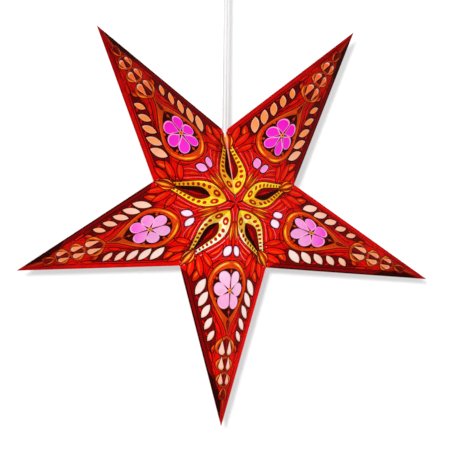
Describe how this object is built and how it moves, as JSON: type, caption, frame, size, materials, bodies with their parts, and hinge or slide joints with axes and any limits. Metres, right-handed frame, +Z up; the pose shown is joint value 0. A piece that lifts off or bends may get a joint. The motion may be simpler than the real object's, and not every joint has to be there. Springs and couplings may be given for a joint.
{
  "type": "paper star lantern",
  "caption": "Hanging star lantern of folded printed card with tissue-backed cut-outs, round a bulb in a lampholder on a cord from a ceiling cup.",
  "frame": {"origin": "on the ceiling, midway between the two screw holes of the ceiling bracket", "axes": "+Z up, out of the bracket into the ceiling; +X across the front of the star to the viewer's right; the star's front point faces -Y"},
  "size_m": [0.5696, 0.16, 0.64],
  "materials": {
    "printed_card": "satin printed card, red ground with dark, orange and yellow ornament",
    "magenta_tissue": "translucent tissue",
    "cream_tissue": "translucent tissue",
    "orange_tissue": "translucent tissue",
    "pink_tissue": "translucent tissue",
    "hook_and_loop": "woven tape with hooks and loops",
    "holder_plastic": "moulded, satin",
    "carrier_ceramic": "unglazed",
    "brass": "pressed sheet, nickel-free",
    "grip_plastic": "moulded nylon",
    "bulb_glass": "opal, lit",
    "cord_jacket": "smooth flexible jacket",
    "zinc_steel": "zinc plated",
    "cup_plastic": "moulded, gloss",
    "block_nylon": "moulded nylon"
  },
  "bodies": {
    "root": {"arm_upper_right": "printed_card", "arm_right": "printed_card", "arm_bottom": "printed_card", "arm_left": "printed_card", "arm_upper_left": "printed_card", "magenta_paper_upper_right": "magenta_tissue", "magenta_paper_right": "magenta_tissue", "magenta_paper_bottom": "magenta_tissue", "magenta_paper_left": "magenta_tissue", "magenta_paper_upper_left": "magenta_tissue", "cream_paper_upper_right": "cream_tissue", "cream_paper_right": "cream_tissue", "cream_paper_bottom": "cream_tissue", "cream_paper_left": "cream_tissue", "cream_paper_upper_left": "cream_tissue", "orange_paper_upper_right": "orange_tissue", "orange_paper_right": "orange_tissue", "orange_paper_bottom": "orange_tissue", "orange_paper_left": "orange_tissue", "orange_paper_upper_left": "orange_tissue", "pink_paper_upper_right": "pink_tissue", "pink_paper_right": "pink_tissue", "pink_paper_bottom": "pink_tissue", "pink_paper_left": "pink_tissue", "pink_paper_upper_left": "pink_tissue", "loop_pads": "hook_and_loop", "hook_pads": "hook_and_loop", "lampholder_cap": "holder_plastic", "lampholder_body": "holder_plastic", "contact_carrier": "carrier_ceramic", "screw_sleeve": "brass", "centre_contact": "brass", "holder_cord_grip": "grip_plastic", "light_bulb": "bulb_glass", "cord": "cord_jacket", "ceiling_bracket": "zinc_steel", "ceiling_cup": "cup_plastic", "cup_screws": "zinc_steel", "cup_gland": "grip_plastic", "cup_gland_nut": "grip_plastic", "terminal_block": "block_nylon", "terminal_tubes": "brass"}
  },
  "joints": []
}
